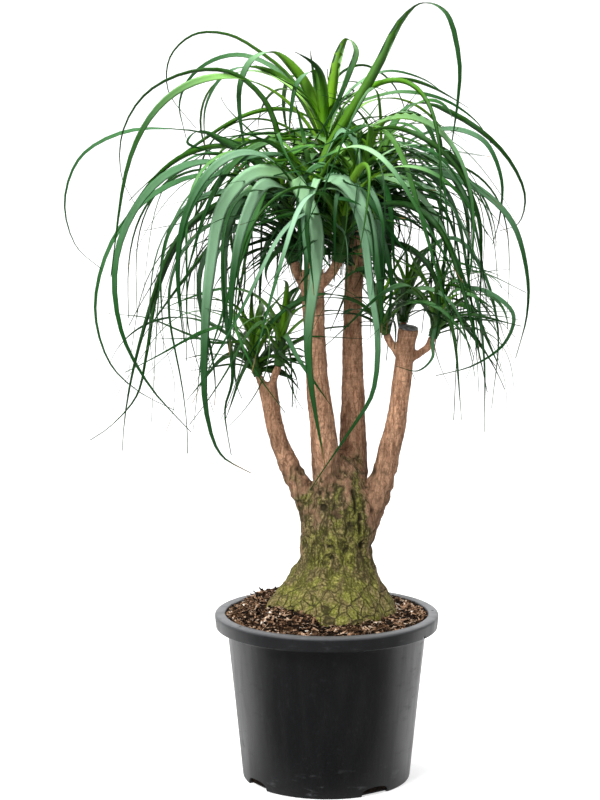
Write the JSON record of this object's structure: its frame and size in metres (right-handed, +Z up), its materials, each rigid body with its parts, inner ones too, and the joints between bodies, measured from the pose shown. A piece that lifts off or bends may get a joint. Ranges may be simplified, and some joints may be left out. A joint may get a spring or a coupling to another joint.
{
  "type": "potted ponytail palm",
  "caption": "Ponytail palm with bare stems rising from one swollen mossy base, drooping ribbon-leaf shoots, standing in a black nursery pot of bark soil.",
  "frame": {"origin": "middle of the pot's underside, on the surface that it stands on", "axes": "+Z up the plant; -Y towards the plant's front, as pictured; +X to the right seen from the front"},
  "size_m": [0.6107, 0.572, 1.0237],
  "materials": {
    "pot_plastic": "satin black, scuffed",
    "potting_soil": "rough bark and coir chips",
    "palm_bark": "dry bark with leaf scars, mossy base",
    "seal_wax": "dull grey wax",
    "palm_leaf": "satin green ribbon leaf"
  },
  "bodies": {
    "root": {"pot": "pot_plastic", "soil": "potting_soil", "trunk": "palm_bark", "cut_seal": "seal_wax", "shoot_front": "palm_leaf", "shoot_left": "palm_leaf", "shoot_mid": "palm_leaf", "shoot_centre": "palm_leaf", "shoot_top": "palm_leaf", "shoot_right": "palm_leaf", "shoot_back": "palm_leaf", "shoot_low_left": "palm_leaf", "shoot_low_front": "palm_leaf", "shoot_low_right": "palm_leaf", "shoot_low_mid": "palm_leaf", "shoot_low_back": "palm_leaf"}
  },
  "joints": []
}
